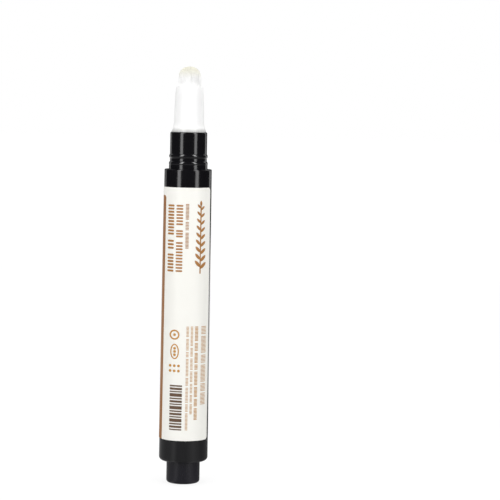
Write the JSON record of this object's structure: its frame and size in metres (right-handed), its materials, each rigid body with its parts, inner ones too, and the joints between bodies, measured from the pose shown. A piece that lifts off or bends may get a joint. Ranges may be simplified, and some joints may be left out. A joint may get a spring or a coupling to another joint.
{
  "type": "cuticle oil pen",
  "caption": "Slim twist pen for cuticle oil: turning the end knob drives a screw rod and piston that feed a round brush tip.",
  "frame": {"origin": "middle of the flat foot of the end knob, on which the pen stands", "axes": "+Z along the pen's axis towards the brush tip, the label's printed front faces -Y"},
  "size_m": [0.0153, 0.0154, 0.1295],
  "materials": {
    "black_gloss": "glossy black plastic",
    "black_satin": "black plastic, a little softer in gloss",
    "label_film": "white printed film with a brown panel",
    "milky_plastic": "translucent white plastic",
    "natural_plastic": "uncoloured plastic",
    "cream_nylon": "fine cream filaments",
    "white_felt": "felt",
    "grey_rubber": "soft rubber"
  },
  "bodies": {
    "barrel": {"barrel": "black_gloss", "label": "label_film", "neck_shell": "black_gloss", "neck_seal_ring": "grey_rubber", "wick_cup": "natural_plastic", "wick": "white_felt", "feed_tube": "natural_plastic", "brush_holder": "milky_plastic", "brush_seat": "natural_plastic", "bristles": "cream_nylon", "ratchet_ring": "natural_plastic", "guide_sleeve": "natural_plastic", "drive_nut": "natural_plastic"},
    "knob": {"knob": "black_satin", "knob_friction_ring": "grey_rubber", "drive_sleeve": "natural_plastic", "pawl_ring": "natural_plastic"},
    "piston": {"piston_seal": "milky_plastic", "piston_core": "natural_plastic"},
    "rod": {"screw_rod": "milky_plastic"}
  },
  "joints": [
    {"name": "knob_twist", "type": "hinge", "parent": "barrel", "child": "knob", "pos_m": [0, 0, 0.0079], "axis": [0, 0, 1], "range_deg": [0, 2880]},
    {"name": "piston_travel", "type": "slide", "parent": "barrel", "child": "piston", "axis": [0, 0, 1], "range_m": [0, 0.032]},
    {"name": "rod_turn", "type": "hinge", "parent": "piston", "child": "rod", "pos_m": [0, 0, 0.0437], "axis": [0, 0, 1], "range_deg": [0, 2880]}
  ],
  "couplings": [
    {"joint": "knob_twist", "follows": "piston_travel", "rad_per_m": 1570.8},
    {"joint": "rod_turn", "follows": "piston_travel", "rad_per_m": 1570.8}
  ]
}
